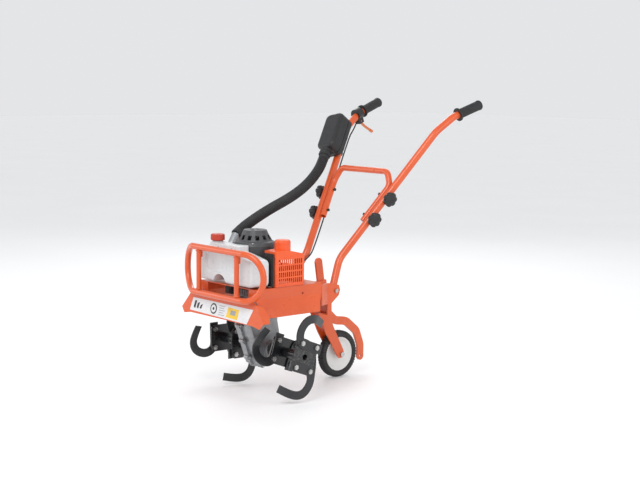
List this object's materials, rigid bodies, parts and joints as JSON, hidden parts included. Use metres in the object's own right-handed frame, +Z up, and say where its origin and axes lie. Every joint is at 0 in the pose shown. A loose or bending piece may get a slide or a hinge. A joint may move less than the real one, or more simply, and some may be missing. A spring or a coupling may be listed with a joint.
{
  "type": "garden tiller",
  "caption": "Small petrol tiller: engine on a hooded frame with bumper, worm gear case, bladed rotors, rear wheel, drag stake and long two-grip handle.",
  "frame": {"origin": "middle of the footprint, on the ground", "axes": "+Z up, +Y back to the operator, +X to the operator's left"},
  "size_m": [0.559, 0.9872, 0.9938],
  "materials": {
    "orange_paint": "powder coat, semi gloss",
    "cover_plastic": "gloss",
    "tine_paint": "black, semi gloss",
    "plated_steel": "zinc plate",
    "bronze": "machined",
    "cast_aluminium": "as cast",
    "grey_plastic": "matt",
    "muffler_steel": "heat dulled",
    "tank_plastic": "translucent, natural",
    "red_plastic": "gloss",
    "black_plastic": "matt",
    "lever_metal": "painted, pale tip",
    "black_rubber": "matt",
    "foam": "open cell",
    "tyre": "matt",
    "wheel_white": "gloss"
  },
  "bodies": {
    "chassis": {"deck_plate": "orange_paint", "left_side_rail": "orange_paint", "right_side_rail": "orange_paint", "front_skirt": "orange_paint", "bumper_bar": "orange_paint", "rear_bracket": "orange_paint", "left_wheel_leg": "orange_paint", "right_wheel_leg": "orange_paint", "stake_socket": "orange_paint", "gearbox_left_half": "cast_aluminium", "gearbox_right_half": "cast_aluminium", "chassis_bolts": "plated_steel", "output_bearings": "plated_steel", "wheel_axle": "plated_steel", "crankcase": "cast_aluminium", "cylinder": "cast_aluminium", "cylinder_cover": "cover_plastic", "muffler": "muffler_steel", "plug_cap": "black_rubber", "carburettor": "cast_aluminium", "fuel_tank": "tank_plastic", "fan_housing": "grey_plastic", "recoil_cover": "grey_plastic", "pivot_bolts": "plated_steel"},
    "tine_rotor": {"output_shaft": "plated_steel", "worm_wheel": "bronze", "left_tine_hub": "tine_paint", "right_tine_hub": "tine_paint", "left_tine_blades": "tine_paint", "right_tine_blades": "tine_paint", "left_tine_bolts": "plated_steel", "right_tine_bolts": "plated_steel"},
    "worm_drive": {"worm_shaft": "plated_steel"},
    "crankshaft": {"flywheel": "cast_aluminium"},
    "wheel": {"tyre": "tyre", "wheel_hub": "wheel_white"},
    "stake": {"drag_stake": "orange_paint"},
    "stake_clamp": {"stake_clamp_screw": "plated_steel"},
    "fuel_cap": {"fuel_cap": "red_plastic"},
    "starter_pulley": {"starter_pulley": "black_plastic"},
    "starter_handle": {"starter_handle": "black_plastic"},
    "handle": {"left_handle_tube": "orange_paint", "right_handle_tube": "orange_paint", "cross_brace": "orange_paint", "left_grip": "black_rubber", "right_grip": "black_rubber", "throttle_housing": "black_plastic", "throttle_cable": "black_rubber", "intake_hose": "black_rubber", "air_filter_body": "black_plastic", "air_filter_cover": "black_plastic", "air_filter_element": "foam"},
    "throttle_lever": {"throttle_lever": "lever_metal"},
    "stop_switch": {"stop_switch": "red_plastic"},
    "left_lower_knob": {"left_lower_knob": "black_plastic"},
    "left_upper_knob": {"left_upper_knob": "black_plastic"},
    "right_lower_knob": {"right_lower_knob": "black_plastic"},
    "right_upper_knob": {"right_upper_knob": "black_plastic"}
  },
  "joints": [
    {"name": "tine_spin", "type": "hinge", "parent": "chassis", "child": "tine_rotor", "pos_m": [0, -0.291, 0.152], "axis": [1, 0, 0], "continuous": true},
    {"name": "worm_spin", "type": "hinge", "parent": "chassis", "child": "worm_drive", "pos_m": [0, -0.325, 0.25], "axis": [0, 0, 1], "continuous": true},
    {"name": "crank_spin", "type": "hinge", "parent": "chassis", "child": "crankshaft", "pos_m": [0, -0.325, 0.45], "axis": [0, 0, 1], "continuous": true},
    {"name": "wheel_spin", "type": "hinge", "parent": "chassis", "child": "wheel", "pos_m": [0, 0.052, 0.085], "axis": [1, 0, 0], "continuous": true},
    {"name": "handle_tilt", "type": "hinge", "parent": "chassis", "child": "handle", "pos_m": [0, -0.08, 0.343], "axis": [1, 0, 0], "range_deg": [-6, 6], "deforming": ["intake_hose", "throttle_cable"]},
    {"name": "stake_slide", "type": "slide", "parent": "chassis", "child": "stake", "axis": [0, -0.1561, 0.9877], "range_m": [-0.01, 0.02]},
    {"name": "stake_clamp_turn", "type": "hinge", "parent": "chassis", "child": "stake_clamp", "pos_m": [0.02, -0.02678, 0.33], "axis": [1, 0, 0], "range_deg": [-180, 180]},
    {"name": "fuel_cap_turn", "type": "hinge", "parent": "chassis", "child": "fuel_cap", "pos_m": [-0.088, -0.416, 0.53], "axis": [0, 0, 1], "range_deg": [0, 180]},
    {"name": "starter_pull", "type": "slide", "parent": "chassis", "child": "starter_handle", "axis": [-0.7071, 0.7071, 0], "range_m": [0, 0.4], "stiffness_N_per_m": 12, "springref_m": -0.2},
    {"name": "starter_pulley_spin", "type": "hinge", "parent": "chassis", "child": "starter_pulley", "pos_m": [0, -0.325, 0.529], "axis": [0, 0, 1], "range_deg": [0, 620]},
    {"name": "throttle_squeeze", "type": "hinge", "parent": "handle", "child": "throttle_lever", "pos_m": [-0.24618, 0.37242, 0.90622], "axis": [-0.9924, -0.1159, -0.041], "range_deg": [0, 18], "stiffness_Nm_per_rad": 0.3, "springref_deg": -34.38},
    {"name": "stop_press", "type": "slide", "parent": "handle", "child": "stop_switch", "axis": [0.9924, 0.1159, 0.041], "range_m": [0, 0.0025], "stiffness_N_per_m": 400, "springref_m": -0.0015},
    {"name": "left_lower_knob_turn", "type": "hinge", "parent": "handle", "child": "left_lower_knob", "pos_m": [0.13497, 0.08045, 0.585], "axis": [0.9662, -0.1509, -0.2088], "range_deg": [0, 360]},
    {"name": "left_upper_knob_turn", "type": "hinge", "parent": "handle", "child": "left_upper_knob", "pos_m": [0.15799, 0.13106, 0.655], "axis": [0.9662, -0.1509, -0.2088], "range_deg": [0, 360]},
    {"name": "right_lower_knob_turn", "type": "hinge", "parent": "handle", "child": "right_lower_knob", "pos_m": [-0.13497, 0.08045, 0.585], "axis": [-0.9662, -0.1509, -0.2088], "range_deg": [0, 360]},
    {"name": "right_upper_knob_turn", "type": "hinge", "parent": "handle", "child": "right_upper_knob", "pos_m": [-0.15799, 0.13106, 0.655], "axis": [-0.9662, -0.1509, -0.2088], "range_deg": [0, 360]}
  ],
  "couplings": [
    {"joint": "worm_spin", "follows": "tine_spin", "ratio": 30},
    {"joint": "starter_pulley_spin", "follows": "starter_pull", "rad_per_m": 26.3}
  ]
}
